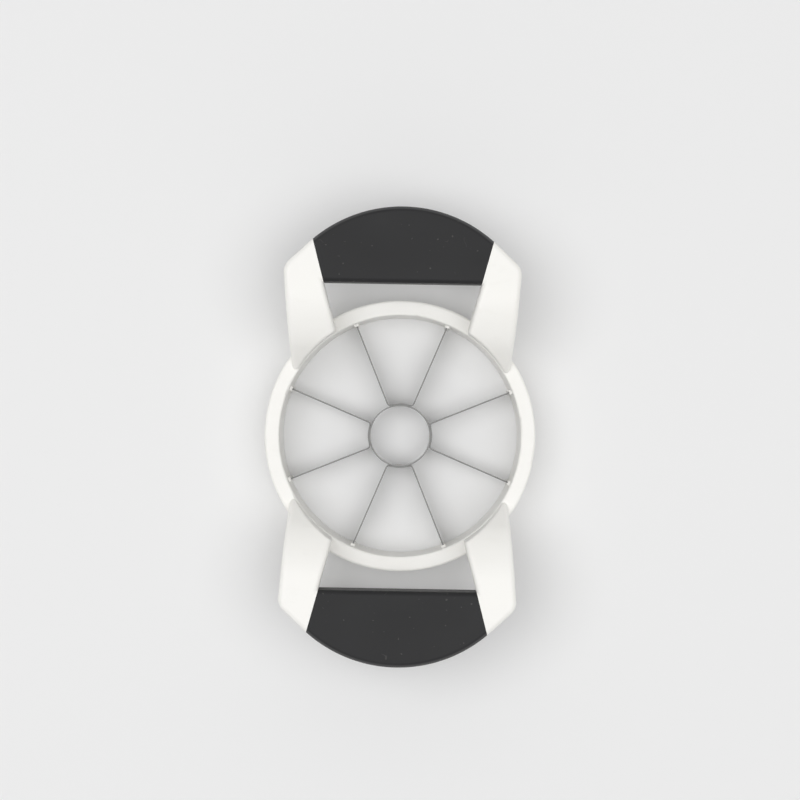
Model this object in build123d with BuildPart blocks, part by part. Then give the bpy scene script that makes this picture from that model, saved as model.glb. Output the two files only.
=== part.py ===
from build123d import *
import os
from math import cos, hypot, radians, sin, sqrt, tan

# Hand-pressed apple corer and divider, in millimetres. The origin is the centre of the
# base: X runs across, Y runs along the two handles, Z is up. A moulded ring carries four
# arms that rise to two soft grips. Four bent steel strips, welded round a corer tube,
# make the eight blades. Nothing on it moves: the whole frame is pressed down by hand.

os.makedirs("parts", exist_ok=True)

# Ring
ring_outer_r = 54.5
ring_width = 5.9  # at the top
ring_height = 20.0
ring_draft = 2.0  # degrees, the opening narrows towards the base
ring_edge = 0.9  # rounding of both top edges
ring_base_edge = 0.4
ring_inner_wall = 1.6  # beside the blade channel
ring_outer_wall = 2.2
ring_web = 2.5  # above the blade channel

# Blade spider
blade_count = 8
blade_top = 14.0
blade_edge = 0.6  # height of the cutting edges above the base
blade_grind = 1.6  # height of the ground bevels
strip_t = 0.5
strip_bend_r = 1.2  # where a blade leaves the corer tube
strip_hug = 10.0  # degrees of contact with the tube, either side of the weld
tab_bend_r = 0.8
tab_length = 5.0
tube_outer_r = 12.5
tube_wall = 0.5

# Blade seats in the ring
boss_width = 1.7
boss_proud = 0.9
boss_above_blade = 1.2
slot_clearance = 0.05
retainer_height = 3.0
retainer_clearance = 0.05
notch_gap = 0.4  # between the foot of a boss and the step in the blade's edge

# Handles
handle_top = 44.0
handle_thickness = 16.0
handle_depth = 30.2  # from the straight inner side to the top of the outer arc
handle_edge = 2.0
finger_gap = 6.1  # between the ring and the straight inner side
seam_in = 18.8  # seam between grip and arm, at the outer arc, inside the ring's width
seam_lean = 4.5  # the seam's inner end lies this much further in
seam_edge = 0.35
grip_skin = 3.6  # soft cover over the handle core
core_hole_d = 7.0
core_hole_pitch = 18.0
core_hole_count = 3

# Arms
arm_in = 7.4  # the arm's widest point, inside the ring's width
arm_arc_end = 1.5  # the outer arc runs on past the seam before it turns straight
arm_corner_r = 6.0
arm_root_outer = 35.7  # degrees round the ring, where the arm's sides meet it
arm_root_inner = 59.5
arm_slope = 54.0  # degrees, steepest part above the ring
arm_foot_in = 6.0  # that slope comes down to the ring's top inside the outer root
arm_shoulder_gap = 3.0  # the shoulder's curve ends this far short of the grip
arm_setback = 0.5  # the arms' inner faces stand behind the ring's lip
arm_lip = 1.2  # rounding round those faces
arm_heel_z = 5.0  # height at which the underside leaves the ring
arm_knee_gap = 5.2  # the underside turns level this far short of the grip
arm_knee_r = 5.0
arm_wall = 3.0
arm_rib = 2.0

# Worked out from the sizes above
draft = tan(radians(ring_draft))
ring_inner_r = ring_outer_r - ring_width
ring_base_r = ring_inner_r - ring_height * draft
channel_inner_r = ring_inner_r + ring_inner_wall
channel_outer_r = ring_outer_r - ring_outer_wall
channel_mid_r = (channel_inner_r + channel_outer_r) / 2
channel_top = ring_height - ring_web
blade_pitch = 360 / blade_count
boss_base_r = ring_base_r - boss_proud
slot_width = strip_t + 2 * slot_clearance
handle_bottom = handle_top - handle_thickness
handle_arc_r = ring_outer_r
handle_inner_y = ring_outer_r + finger_gap
handle_reach = handle_inner_y + handle_depth
handle_arc_y = handle_reach - handle_arc_r
over = 5.0  # how far cutting shapes run past what they cut
tiny = 0.01  # largest misfit of an edge or face that still counts as in place


def polar(radius, angle):
    return Vector(radius * cos(radians(angle)), radius * sin(radians(angle)))


def on_arc(x):
    """Point of the handle's outer arc at an X."""
    return Vector(x, handle_arc_y + sqrt(handle_arc_r**2 - x**2))


# Plan corners of the arm at +X +Y; the others mirror it.
seam_outer = on_arc(ring_outer_r - seam_in)
seam_inner = Vector(seam_outer.X - seam_lean, handle_inner_y)
arc_end = on_arc(seam_outer.X + arm_arc_end)
arm_corner_x = ring_outer_r - arm_in
corner_fall = arc_end.X / (arc_end.Y - handle_arc_y)
arm_corner = Vector(arm_corner_x, arc_end.Y - (arm_corner_x - arc_end.X) * corner_fall)
root_outer = polar(ring_outer_r, arm_root_outer)
root_inner = polar(ring_outer_r, arm_root_inner)
arm_overrun = ring_outer_r - ring_base_r + 2 * over  # the sides run on into the opening
end_outer = root_outer + (root_outer - arm_corner).normalized() * arm_overrun
end_inner = root_inner + (root_inner - seam_inner).normalized() * arm_overrun

# Side profile of the arm
arm_foot_y = root_outer.Y - arm_foot_in
arm_inner_r = ring_inner_r + arm_setback
knee_r = seam_inner.length - arm_knee_gap
heel_r = ring_outer_r - ring_outer_wall / 2


def slope_y(height, inset=0.0):
    """Y of the arm's slope at a height, with the slope moved inwards by the inset."""
    slope = radians(arm_slope)
    return arm_foot_y + (height - ring_height) / tan(slope) + inset / sin(slope)


# The shoulder's arc touches the slope and, short of the grip, the handle's top.
shoulder_run = handle_inner_y - arm_shoulder_gap - slope_y(handle_top)
arm_shoulder_r = shoulder_run / tan(radians(arm_slope / 2))


def wing_plan():
    """Plan outline of one handle with its two arms, which run on into the ring's opening."""
    with BuildSketch() as plan:
        with BuildLine():
            half = Polyline(
                (0, handle_inner_y), seam_inner, end_inner, end_outer, arm_corner, arc_end
            )
            ThreePointArc(arc_end, (0, handle_reach), (-arc_end.X, arc_end.Y))
            mirror(half, about=Plane.YZ)
        make_face()
        fillet(plan.vertices().group_by(Axis.X)[-1], arm_corner_r)
        fillet(plan.vertices().group_by(Axis.X)[0], arm_corner_r)
    return plan.sketch


def wing_side(inset):
    """Side view, as (y, z), of all that lies below a wing's handle, shoulder and slope."""
    top = handle_top - inset
    foot_z = ring_height - ring_edge
    foot_y = slope_y(foot_z, inset)
    with BuildSketch() as side:
        with BuildLine():
            crest = FilletPolyline(
                (handle_reach, top),
                (slope_y(top, inset), top),
                (foot_y, foot_z),
                radius=arm_shoulder_r - inset,
            )
            Polyline(crest @ 1, (foot_y, -over), (handle_reach, -over), crest @ 0)
        make_face()
    return side.sketch


def upright(face):
    """Whether a face stands straight up."""
    return abs(face.normal_at().Z) < tiny


def both_ways(solid, mode=Mode.ADD):
    """A solid made for the rear handle, there and turned round for the front one."""
    add(solid, mode=mode)
    add(solid, rotation=(0, 0, 180), mode=mode)


# Rear handle with its two arms, in one block whose lower ends lie inside the ring.
with BuildPart() as wing:
    add(wing_plan())
    extrude(amount=handle_top)
    with BuildSketch(Plane.YZ):
        add(wing_side(0))
    extrude(amount=ring_outer_r, both=True, mode=Mode.INTERSECT)
    with Locations((0, handle_inner_y, 0)):
        Box(
            2 * ring_outer_r, handle_depth, handle_bottom,
            align=(Align.CENTER, Align.MIN, Align.MIN), mode=Mode.SUBTRACT,
        )
    with BuildSketch(Plane.XZ):
        with BuildLine():
            under = FilletPolyline(
                (heel_r, arm_heel_z),
                (knee_r, handle_bottom),
                (handle_reach + over, handle_bottom),
                radius=arm_knee_r,
            )
            Polyline(
                under @ 1,
                (handle_reach + over, -over),
                (0, -over),
                (0, arm_heel_z),
                under @ 0,
            )
        make_face()
    revolve(mode=Mode.SUBTRACT)
    with BuildSketch():
        Circle(arm_inner_r)
    extrude(amount=handle_top, mode=Mode.SUBTRACT)
    # Round the rims of handle and arms, but not the plan's corners or what is in the ring.
    walls = wing.faces().filter_by(upright)
    walls = walls.filter_by(lambda face: hypot(face.center().X, face.center().Y) > ring_outer_r)
    lowest = wing.edges().group_by(Axis.Z)[0]
    fillet(walls.edges() - wing.edges().filter_by(Axis.Z) - lowest, handle_edge)
    # Then round the arms' inner faces.
    inner = wing.faces().filter_by(GeomType.CYLINDER)
    inner = inner.filter_by(lambda face: abs(face.radius - arm_inner_r) < tiny)
    feet = wing.faces().filter_by(Plane.XZ).group_by(Axis.Y)[0]
    lowest = wing.edges().group_by(Axis.Z)[0]
    fillet(inner.edges() - feet.edges() - lowest, arm_lip)

# Core of the rear grip, which joins the arms and is drilled to lock the soft cover on. It
# is drawn past the seams, and the arms' own block ends it.
with BuildPart() as core:
    with BuildSketch(Plane.XY.offset(handle_bottom + grip_skin)):
        with Locations((0, handle_arc_y)):
            Circle(handle_arc_r - grip_skin)
        with Locations((0, handle_inner_y + grip_skin)):
            Rectangle(
                2 * ring_outer_r, handle_depth, align=(Align.CENTER, Align.MIN),
                mode=Mode.INTERSECT,
            )
        with Locations((0, (handle_inner_y + handle_reach) / 2)):
            with GridLocations(core_hole_pitch, 0, core_hole_count, 1):
                Circle(core_hole_d / 2, mode=Mode.SUBTRACT)
    extrude(amount=handle_thickness - 2 * grip_skin)

# The stretch of the block between the seams.
with BuildPart() as between_seams:
    with BuildSketch():
        with BuildLine():
            seam = seam_outer - seam_inner
            seam_end = seam_inner + seam * ((handle_reach + over - seam_inner.Y) / seam.Y)
            half = Polyline(
                (0, handle_inner_y - finger_gap / 2), seam_inner, seam_end, (0, seam_end.Y)
            )
            mirror(half, about=Plane.YZ)
        make_face()
    extrude(amount=handle_top)

# What the frame leaves free for the soft cover.
with BuildPart() as cover_room:
    add(between_seams.part)
    add(core.part, mode=Mode.SUBTRACT)

# Soft grip at the rear, moulded round its core.
with BuildPart() as grip:
    add(wing.part)
    add(between_seams.part, mode=Mode.INTERSECT)
    seams = grip.faces().filter_by(GeomType.PLANE).filter_by(
        lambda face: abs(face.center().X) > seam_inner.X
    )
    fillet(seams.edges(), seam_edge)
    add(core.part, mode=Mode.SUBTRACT)

# Hollow under each rear arm, leaving an even wall and one rib across.
with BuildPart() as hollow:
    with BuildSketch() as plan:
        with BuildLine():
            Polyline(seam_inner, end_inner, end_outer, arm_corner, seam_outer, close=True)
        make_face()
        offset(amount=-arm_wall)
        fillet(plan.vertices().group_by(Axis.X)[-1], arm_corner_r - arm_wall)
        mirror(about=Plane.YZ)
        Circle(ring_outer_r + ring_edge, mode=Mode.SUBTRACT)
    extrude(amount=handle_top)
    with BuildSketch(Plane.YZ):
        add(wing_side(arm_wall))
    extrude(amount=ring_outer_r, both=True, mode=Mode.INTERSECT)
    with Locations((0, handle_inner_y, 0)):
        Box(
            2 * ring_outer_r, arm_rib, handle_top,
            align=(Align.CENTER, Align.CENTER, Align.MIN), mode=Mode.SUBTRACT,
        )

# Boss on the ring's wall at the end of a blade, on +X, leaning with the wall.
boss_top = blade_top + boss_above_blade
with BuildPart() as boss:
    with BuildSketch(Plane.XZ):
        with BuildLine():
            Polyline(
                (boss_base_r, 0),
                (boss_base_r + boss_top * draft, boss_top),
                (channel_inner_r, boss_top + boss_proud),
                (channel_inner_r, 0),
                close=True,
            )
        make_face()
    extrude(amount=boss_width / 2, both=True)

# Frame: ring, both pairs of arms and the cores of the grips, in one moulding.
with BuildPart() as frame:
    both_ways(wing.part)
    with BuildSketch(Plane.XZ) as section:
        with BuildLine():
            Polyline(
                (ring_base_r, 0),
                (ring_inner_r, ring_height),
                (ring_outer_r, ring_height),
                (ring_outer_r, 0),
                close=True,
            )
        make_face()
        fillet(section.vertices().group_by(Axis.Y)[-1], ring_edge)
        outer_corners = section.vertices().group_by(Axis.X)[-1]
        fillet(outer_corners.sort_by(Axis.Y)[0], ring_base_edge)
    revolve()
    both_ways(cover_room.part, mode=Mode.SUBTRACT)
    both_ways(hollow.part, mode=Mode.SUBTRACT)
    with PolarLocations(0, blade_count, start_angle=blade_pitch / 2):
        add(boss.part)
    with BuildSketch():
        Circle(channel_outer_r)
        Circle(channel_inner_r, mode=Mode.SUBTRACT)
    extrude(amount=channel_top, mode=Mode.SUBTRACT)
    with PolarLocations(boss_base_r - over, blade_count, start_angle=blade_pitch / 2):
        Box(
            channel_mid_r - boss_base_r + over, slot_width, blade_top + slot_clearance,
            align=(Align.MIN, Align.CENTER, Align.MIN), mode=Mode.SUBTRACT,
        )

# Ring that closes the channel from below and traps the blades' tabs. Its keys fill the
# slots under the blades.
with BuildPart() as blade_retaining_ring:
    with BuildSketch():
        Circle(channel_outer_r - retainer_clearance)
        Circle(channel_inner_r + retainer_clearance, mode=Mode.SUBTRACT)
    extrude(amount=retainer_height)
    key_r = boss_base_r + retainer_height * draft
    with PolarLocations(key_r, blade_count, start_angle=blade_pitch / 2):
        Box(
            channel_mid_r - key_r, strip_t, retainer_height,
            align=(Align.MIN, Align.CENTER, Align.MIN),
        )

# Corer tube, sharpened round its lower end from outside.
with BuildPart() as corer_tube:
    with BuildSketch(Plane.XZ):
        with BuildLine():
            Polyline(
                (tube_outer_r - tube_wall, blade_edge),
                (tube_outer_r, blade_edge + blade_grind),
                (tube_outer_r, blade_top),
                (tube_outer_r - tube_wall, blade_top),
                close=True,
            )
        make_face()
    revolve()

# Steel strip bent into two blades and welded to the tube, on +X. From a tab in the ring's
# channel it runs in along a radius, bends to lie against the tube, and mirrors itself.
hug_r = tube_outer_r + strip_t / 2
tab_corner = polar(channel_mid_r, blade_pitch / 2)
tab_end = tab_corner + polar(tab_length, blade_pitch / 2 + 90)
tube_bend = polar(hug_r / cos(radians(blade_pitch / 2 - strip_hug)), blade_pitch / 2)
weld = Vector(hug_r / cos(radians(strip_hug)), 0)
run_in = [tab_end, tab_corner, tube_bend]
run_out = [Vector(point.X, -point.Y) for point in reversed(run_in)]
bends = [tab_bend_r, strip_bend_r]
with BuildPart() as blade_strip:
    with BuildLine() as path:
        FilletPolyline(*run_in, weld, *run_out, radius=[*bends, hug_r, *reversed(bends)])
    with BuildSketch(Plane(path.line @ 0, x_dir=(0, 0, 1), z_dir=path.line % 0)):
        with BuildLine():
            Polyline(
                (blade_edge, 0),
                (blade_edge + blade_grind, strip_t / 2),
                (blade_top, strip_t / 2),
                (blade_top, -strip_t / 2),
                (blade_edge + blade_grind, -strip_t / 2),
                close=True,
            )
        make_face()
    sweep()
    with BuildSketch():
        Circle(channel_outer_r)
        Circle(boss_base_r - notch_gap, mode=Mode.SUBTRACT)
    extrude(amount=retainer_height, mode=Mode.SUBTRACT)


def write(part, label):
    part.label = label
    export_step(part, f"parts/{label}.step")


write(frame.part, "frame")
write(blade_retaining_ring.part, "blade_retaining_ring")
write(corer_tube.part, "corer_tube")
for side, turn in (("right", 0), ("rear", 90), ("left", 180), ("front", 270)):
    write(blade_strip.part.rotate(Axis.Z, turn), f"blade_strip_{side}")
for side, turn in (("rear", 0), ("front", 180)):
    write(grip.part.rotate(Axis.Z, turn), f"grip_{side}")
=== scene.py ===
from math import cos, pi, radians, sin

import bmesh
import bpy
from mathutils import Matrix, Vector


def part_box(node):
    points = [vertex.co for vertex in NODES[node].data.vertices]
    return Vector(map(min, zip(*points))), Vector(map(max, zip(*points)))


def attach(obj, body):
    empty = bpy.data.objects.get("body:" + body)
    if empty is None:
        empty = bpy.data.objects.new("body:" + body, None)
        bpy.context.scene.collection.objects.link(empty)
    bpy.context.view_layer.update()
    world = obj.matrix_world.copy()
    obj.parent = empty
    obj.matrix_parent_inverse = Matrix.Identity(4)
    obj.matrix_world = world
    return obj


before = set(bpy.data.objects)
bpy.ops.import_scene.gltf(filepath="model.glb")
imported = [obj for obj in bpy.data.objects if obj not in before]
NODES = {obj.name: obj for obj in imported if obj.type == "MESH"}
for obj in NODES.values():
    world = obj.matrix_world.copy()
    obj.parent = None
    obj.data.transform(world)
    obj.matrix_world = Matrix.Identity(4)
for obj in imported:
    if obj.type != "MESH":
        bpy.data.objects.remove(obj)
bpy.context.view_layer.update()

# An apple corer and divider, seen from straight above. Lengths are in metres, and MM
# turns millimetres into them. +X is right, +Y is the rear handle, Z is up.
MM = 0.001

TUBE_OUTER_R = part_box("corer_tube")[1][0]
TUBE_WALL = 0.5 * MM
STRIP_T = 0.5 * MM
RING_TOP = 20 * MM
SIDES = {"right": 0, "rear": 90, "left": 180, "front": 270}


# Materials ------------------------------------------------------------------------------

# Colours: linear red, green and blue, and alpha.
PLASTIC_DIM = (0.922, 0.910, 0.872, 1)
PLASTIC_BRIGHT = (0.936, 0.926, 0.892, 1)
PLASTIC_SCUFFED = (0.86, 0.845, 0.80, 1)
GRIP_DARK = (0.013, 0.013, 0.014, 1)
GRIP_PALE = (0.018, 0.018, 0.019, 1)
# Painted highlight colour for the rounding of the grips' outer parts
GRIP_PAINTED_HIGHLIGHT = (0.06, 0.06, 0.061, 1)
DUST = (0.26, 0.25, 0.24, 1)
STEEL_CLEAN = (0.66, 0.66, 0.655, 1)
STEEL_STAINED = (0.57, 0.565, 0.55, 1)
STEEL_STRAW = (0.50, 0.44, 0.35, 1)
STEEL_SHEARED = (0.23, 0.23, 0.226, 1)
STEEL_GROUND = (0.74, 0.74, 0.74, 1)
NO_LINES = (0.5, 0.5, 0.5, 1)  # the middle of the brush noise, so that nothing stands out
FLOOR_GREY = (0.86, 0.86, 0.86, 1)
SKY_WHITE = (1, 1, 1, 1)

# Noise values between which a patch fades in: colours change faster than roughness.
COLOUR_PATCH = {"low": 0.35, "high": 0.65}
ROUGH_PATCH = {"low": 0.3, "high": 0.7}

# The grips' painted highlight is put only on their rounding beyond this Y and -Y
PALM_SIDE = 65 * MM  # the grips' outer parts, under the palms, lie beyond this Y and -Y
PALM_BLEND = 2 * MM
BEVEL_TOP = 2.2 * MM  # height at which the ground bevels of blades and tube end
BEVEL_BLEND = 0.05 * MM
WELD_HEIGHTS = (5.6 * MM, 10.4 * MM)
WELD_R = 1.25 * MM
TINT_INNER_R, TINT_OUTER_R = 0.6 * WELD_R, 1.9 * WELD_R

# The Mix node's sockets for colours: both inputs and the output.
MIX_A, MIX_B, MIXED = 6, 7, 2


class Nodes:
    """A material's node tree, with short calls for the nodes that the looks are made of."""

    def __init__(self, name, **sockets):
        self.material = bpy.data.materials.new(name)
        self.material.use_nodes = True
        self.tree = self.material.node_tree
        self.shader = self.tree.nodes["Principled BSDF"]
        for socket, value in sockets.items():
            self.shader.inputs[socket.replace("_", " ")].default_value = value
        self.coords = self.tree.nodes.new("ShaderNodeTexCoord").outputs["Object"]

    def add(self, kind, **inputs):
        """A new node, with values or other nodes' outputs put on its inputs."""
        node = self.tree.nodes.new("ShaderNode" + kind)
        for key, value in inputs.items():
            self.put(node.inputs[key.replace("_", " ")], value)
        return node

    def put(self, socket, value):
        if isinstance(value, bpy.types.NodeSocket):
            self.tree.links.new(value, socket)
        else:
            socket.default_value = value

    def stretched(self, x, y, z):
        """Object coordinates, multiplied on each axis."""
        node = self.add("Mapping", Vector=self.coords)
        node.inputs["Scale"].default_value = (x, y, z)
        return node.outputs["Vector"]

    def noise(self, per_metre, detail, roughness=0.5, vector=None):
        """Noise with about that many patches to the metre."""
        node = self.add("TexNoise", Vector=vector or self.coords, Scale=per_metre,
                        Detail=detail, Roughness=roughness)
        return node.outputs["Fac"]

    def ramp(self, value, low, high, to_low=0.0, to_high=1.0):
        """The value, taken from between low and high to between to_low and to_high."""
        node = self.add("MapRange", Value=value)
        for key, number in (("From Min", low), ("From Max", high),
                            ("To Min", to_low), ("To Max", to_high)):
            node.inputs[key].default_value = number
        return node.outputs["Result"]

    def maths(self, operation, a, b=0.0):
        node = self.tree.nodes.new("ShaderNodeMath")
        node.operation = operation
        self.put(node.inputs[0], a)
        self.put(node.inputs[1], b)
        return node.outputs[0]

    def plus(self, a, b):
        return self.maths("ADD", a, b)

    def minus(self, a, b):
        return self.maths("SUBTRACT", a, b)

    def times(self, a, b):
        return self.maths("MULTIPLY", a, b)

    def unsigned(self, a):
        """The value without its sign."""
        return self.maths("ABSOLUTE", a)

    def mix(self, factor, a, b):
        """Colour a where the factor is 0 and b where it is 1."""
        node = self.tree.nodes.new("ShaderNodeMix")
        node.data_type = "RGBA"
        self.put(node.inputs["Factor"], factor)
        self.put(node.inputs[MIX_A], a)
        self.put(node.inputs[MIX_B], b)
        return node.outputs[MIXED]

    def axes(self):
        """The object coordinates, one by one."""
        return self.add("SeparateXYZ", Vector=self.coords).outputs

    def levelness(self):
        """1 on faces that lie level, 0 on upright ones."""
        normal = self.tree.nodes.new("ShaderNodeNewGeometry").outputs["Normal"]
        return self.unsigned(self.add("SeparateXYZ", Vector=normal).outputs["Z"])

    def bump(self, height, distance, strength, normal=None):
        node = self.add("Bump", Height=height, Distance=distance, Strength=strength)
        if normal:
            self.put(node.inputs["Normal"], normal)
        return node.outputs["Normal"]

    def finish(self, colour, roughness, normal):
        self.put(self.shader.inputs["Base Color"], colour)
        self.put(self.shader.inputs["Roughness"], roughness)
        self.put(self.shader.inputs["Normal"], normal)
        return self.material


def white_plastic():
    """Moulded white plastic: a fine satin grain, faint flow clouds and handling scuffs."""
    n = Nodes("white_plastic", IOR=1.49, Specular_IOR_Level=0.45)
    clouds = n.noise(28, detail=2)
    rubs = n.noise(90, detail=5, roughness=0.7, vector=n.stretched(1, 3, 1.5))
    scuffed = n.ramp(rubs, low=0.56, high=0.72)
    shade = n.mix(n.ramp(clouds, **COLOUR_PATCH), PLASTIC_DIM, PLASTIC_BRIGHT)
    colour = n.mix(n.times(scuffed, 0.25), shade, PLASTIC_SCUFFED)
    satin = n.ramp(clouds, **ROUGH_PATCH, to_low=0.34, to_high=0.42)
    rough = n.plus(satin, n.times(scuffed, 0.14))
    grain = n.bump(n.noise(2600, detail=2), distance=0.02 * MM, strength=0.35)
    flow = n.bump(n.noise(160, detail=1), distance=0.05 * MM, strength=0.12, normal=grain)
    return n.finish(colour, rough, flow)


def soft_grip():
    """Charcoal soft cover: matt grain, rubbed patches, a painted highlight on the rounding
    on the palm side, and a little dust."""
    n = Nodes("soft_grip", IOR=1.5, Specular_IOR_Level=0.34,
              Sheen_Weight=0.06, Sheen_Roughness=0.4)
    clouds = n.noise(45, detail=3)
    base = n.mix(n.ramp(clouds, **COLOUR_PATCH), GRIP_DARK, GRIP_PALE)
    # Painted highlight: the rounding of the grips' outer parts is made paler, where it
    # would catch the light
    outward = n.unsigned(n.axes()["Y"])
    palm_side = n.ramp(outward, low=PALM_SIDE - PALM_BLEND, high=PALM_SIDE + PALM_BLEND)
    level = n.levelness()
    painted_highlight_band = n.maths("MINIMUM", n.ramp(level, low=0.96, high=0.80),
                       n.ramp(level, low=0.05, high=0.20))
    with_painted_highlight = n.mix(n.times(painted_highlight_band, palm_side), base, GRIP_PAINTED_HIGHLIGHT)

    specks = n.ramp(n.noise(700, detail=0), low=0.81, high=0.85)
    contour = n.unsigned(n.minus(n.noise(150, detail=2), 0.5))
    threads = n.ramp(contour, low=0.004, high=0.010, to_low=0.7, to_high=0.0)
    lint = n.times(threads, n.ramp(n.noise(110, detail=0), low=0.72, high=0.74))
    dusty = n.times(n.maths("MAXIMUM", specks, lint), 0.2)
    colour = n.mix(dusty, with_painted_highlight, DUST)
    matt = n.ramp(clouds, **ROUGH_PATCH, to_low=0.54, to_high=0.66)
    grain = n.bump(n.noise(3200, detail=3, roughness=0.6), distance=0.04 * MM, strength=0.5)
    return n.finish(colour, n.plus(matt, dusty), grain)


def weld_tint(n, x, y, z):
    """1 on the spot welds, fading out round them. They sit where X or Y is 0."""
    along = n.maths("MINIMUM", n.unsigned(x), n.unsigned(y))
    spots = []
    for height in WELD_HEIGHTS:
        above = n.minus(z, height)
        squares = n.plus(n.maths("POWER", above, 2), n.maths("POWER", along, 2))
        away = n.maths("SQRT", squares)
        spots.append(n.ramp(away, TINT_INNER_R, TINT_OUTER_R, to_low=1.0, to_high=0.0))
    return n.maths("MAXIMUM", *spots)


def steel(name, polish):
    """Steel sheet: brushed along its length, ground bevels below, dull sheared edges, and
    a straw-coloured tint round the spot welds."""
    n = Nodes(name, Metallic=1.0, IOR=2.5)
    x, y, z = n.axes()
    ground = n.ramp(z, low=BEVEL_TOP + BEVEL_BLEND, high=BEVEL_TOP - BEVEL_BLEND)
    sheared = n.ramp(n.levelness(), low=0.5, high=0.8)
    stained = n.ramp(n.noise(70, detail=4), low=0.5, high=0.7)
    flat = n.mix(stained, STEEL_CLEAN, STEEL_STAINED)
    tinted = n.mix(n.times(weld_tint(n, x, y, z), 0.55), flat, STEEL_STRAW)
    colour = n.mix(ground, n.mix(sheared, tinted, STEEL_SHEARED), STEEL_GROUND)

    # Fine lines: brushed along the sheet, and ground across it on the bevels.
    brush = n.noise(1, detail=4, roughness=0.6, vector=n.stretched(120, 120, 9000))
    grind = n.noise(1, detail=3, roughness=0.6, vector=n.stretched(6000, 6000, 250))
    lines = n.mix(sheared, n.mix(ground, brush, grind), NO_LINES)
    worn = n.ramp(lines, **ROUGH_PATCH, to_low=polish - 0.05, to_high=polish + 0.07)
    rough = n.plus(n.minus(worn, n.times(ground, 0.06)), n.times(sheared, 0.32))
    soft_edges = n.add("Bevel", Radius=0.08 * MM).outputs["Normal"]
    grooves = n.bump(lines, distance=0.01 * MM, strength=0.35, normal=soft_edges)
    return n.finish(colour, rough, grooves)


WHITE_PLASTIC = white_plastic()
SOFT_GRIP = soft_grip()
BLADE_STEEL = steel("blade_steel", polish=0.27)
TUBE_STEEL = steel("tube_steel", polish=0.22)
LOOKS = {
    "frame": WHITE_PLASTIC, "blade_retaining_ring": WHITE_PLASTIC, "corer_tube": TUBE_STEEL,
    "grip_rear": SOFT_GRIP, "grip_front": SOFT_GRIP,
    **{f"blade_strip_{side}": BLADE_STEEL for side in SIDES},
}
for node, look in LOOKS.items():
    NODES[node].data.materials.clear()
    NODES[node].data.materials.append(look)


# Marks of the spot welds that hold each strip to the corer tube -------------------------

WELD_STEPS = 24  # points round a mark
# Section of a mark, from its middle out: share of its radius, and height.
WELD_SECTION = (
    (0.0, 0.02 * MM), (0.45, 0.025 * MM), (0.65, 0.05 * MM), (0.80, 0.07 * MM),
    (0.92, 0.045 * MM), (1.0, -0.01 * MM), (1.0, -0.10 * MM), (0.0, -0.10 * MM),
)


def weld_mark(bm, wall_r, outward, turn, height):
    """A round mark on an upright wall of that radius, closed inside the wall. outward is 1
    on the wall's outer face and -1 on its inner one."""
    rows = []
    for share, lift in WELD_SECTION:
        radius = share * WELD_R
        r = wall_r + outward * lift
        row = []
        for step in range(WELD_STEPS if share else 1):
            at = 2 * pi * step / WELD_STEPS
            bend = turn + radius * cos(at) / wall_r
            place = (r * cos(bend), r * sin(bend), height + radius * sin(at))
            row.append(bm.verts.new(place))
        rows.append(row)
    for inner, outer in zip(rows, rows[1:]):
        for step in range(WELD_STEPS):
            after = (step + 1) % WELD_STEPS
            if len(inner) == 1:
                bm.faces.new((inner[0], outer[step], outer[after]))
            elif len(outer) == 1:
                bm.faces.new((inner[after], inner[step], outer[0]))
            else:
                bm.faces.new((inner[step], outer[step], outer[after], inner[after]))


def weld_marks(side, turn):
    """The four marks of one strip: two on its outer face and two inside the tube."""
    bm = bmesh.new()
    for height in WELD_HEIGHTS:
        weld_mark(bm, TUBE_OUTER_R + STRIP_T, 1, turn, height)
        weld_mark(bm, TUBE_OUTER_R - TUBE_WALL, -1, turn, height)
    bmesh.ops.recalc_face_normals(bm, faces=bm.faces)
    for face in bm.faces:
        face.smooth = True
    mesh = bpy.data.meshes.new(f"weld_marks_{side}")
    bm.to_mesh(mesh)
    bm.free()
    mesh.materials.append(BLADE_STEEL)
    piece = bpy.data.objects.new(f"weld_marks_{side}", mesh)
    bpy.context.scene.collection.objects.link(piece)
    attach(piece, "root")


for side, degrees in SIDES.items():
    weld_marks(side, radians(degrees))


# Floor, lights and camera ---------------------------------------------------------------

FLOOR_HALF = 6.0
FLOOR_DROP = 0.2 * MM  # keeps the floor clear of the part's lower face
# Round lamps that point at the origin.
KEY = {"place": (-1.04, 0.20, 2.5), "size": 2.0, "watts": 25.0}
FILL = {"place": (0.96, -0.12, 2.5), "size": 2.0, "watts": 18.5}
TOP = {"place": (0.12, -0.36, 2.4), "size": 1.4, "watts": 6.2}
SKY_HORIZON, SKY_TOP = 0.73, 0.21  # the sky's strength there
CAMERA_ABOVE_RING = 1.0
CAMERA_REARWARD = 18 * MM
CAMERA_ROLL = radians(1)
CAMERA_NEAREST = 10 * MM
SENSOR_MM, LENS_MM = 36, 111.8
RING_BELOW_MIDDLE = 0.045  # share of the picture's width


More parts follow.
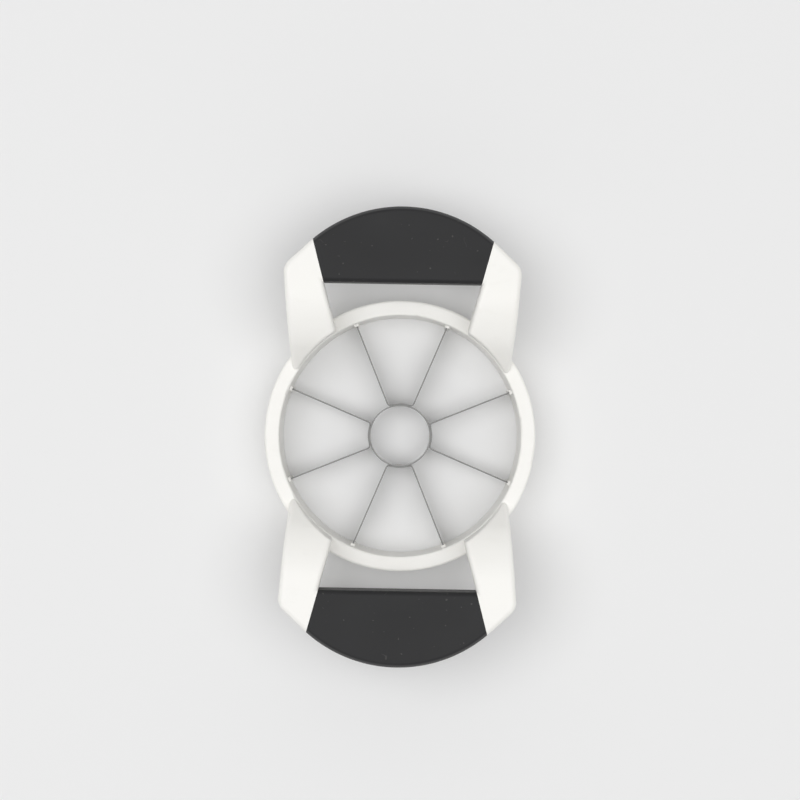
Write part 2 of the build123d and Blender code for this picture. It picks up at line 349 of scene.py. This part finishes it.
def floor():
    half = FLOOR_HALF
    corners = [(-half, -half, 0), (half, -half, 0), (half, half, 0), (-half, half, 0)]
    mesh = bpy.data.meshes.new("floor")
    mesh.from_pydata(corners, [], [(0, 1, 2, 3)])
    obj = bpy.data.objects.new("floor", mesh)
    bpy.context.scene.collection.objects.link(obj)
    obj.location.z = -FLOOR_DROP
    look = Nodes("floor", Roughness=0.9, Base_Color=FLOOR_GREY)
    obj.data.materials.append(look.material)


def softbox(name, place, size, watts):
    data = bpy.data.lights.new(name, "AREA")
    data.shape = "DISK"
    data.size = size
    data.energy = watts
    lamp = bpy.data.objects.new(name, data)
    bpy.context.scene.collection.objects.link(lamp)
    lamp.location = place
    lamp.rotation_euler = (-Vector(place)).to_track_quat("-Z", "Y").to_euler()


def sky():
    """A plain pale world, which gets darker from the horizon up."""
    world = bpy.data.worlds.new("studio")
    world.use_nodes = True
    tree = world.node_tree
    background = tree.nodes["Background"]
    coords = tree.nodes.new("ShaderNodeTexCoord")
    split = tree.nodes.new("ShaderNodeSeparateXYZ")
    level = tree.nodes.new("ShaderNodeMapRange")
    level.inputs["To Min"].default_value = SKY_HORIZON
    level.inputs["To Max"].default_value = SKY_TOP
    tree.links.new(coords.outputs["Generated"], split.inputs["Vector"])
    tree.links.new(split.outputs["Z"], level.inputs["Value"])
    tree.links.new(level.outputs["Result"], background.inputs["Strength"])
    background.inputs["Color"].default_value = SKY_WHITE
    bpy.context.scene.world = world


def overhead_camera():
    """The photo's view: from above the ring, a little to the rear and turned slightly, with
    the picture shifted so that the ring keeps its place in it."""
    data = bpy.data.cameras.new("camera")
    data.sensor_width = SENSOR_MM
    data.lens = LENS_MM
    data.shift_y = (RING_BELOW_MIDDLE
                    - CAMERA_REARWARD / CAMERA_ABOVE_RING * LENS_MM / SENSOR_MM)
    data.clip_start = CAMERA_NEAREST
    camera = bpy.data.objects.new("camera", data)
    camera.location = (-CAMERA_REARWARD * sin(CAMERA_ROLL),
                       CAMERA_REARWARD * cos(CAMERA_ROLL),
                       RING_TOP + CAMERA_ABOVE_RING)
    camera.rotation_euler = (0, 0, CAMERA_ROLL)
    bpy.context.scene.collection.objects.link(camera)
    bpy.context.scene.camera = camera


floor()
softbox("key", **KEY)
softbox("fill", **FILL)
softbox("top", **TOP)
sky()
overhead_camera()
bpy.context.scene.view_settings.view_transform = "Standard"
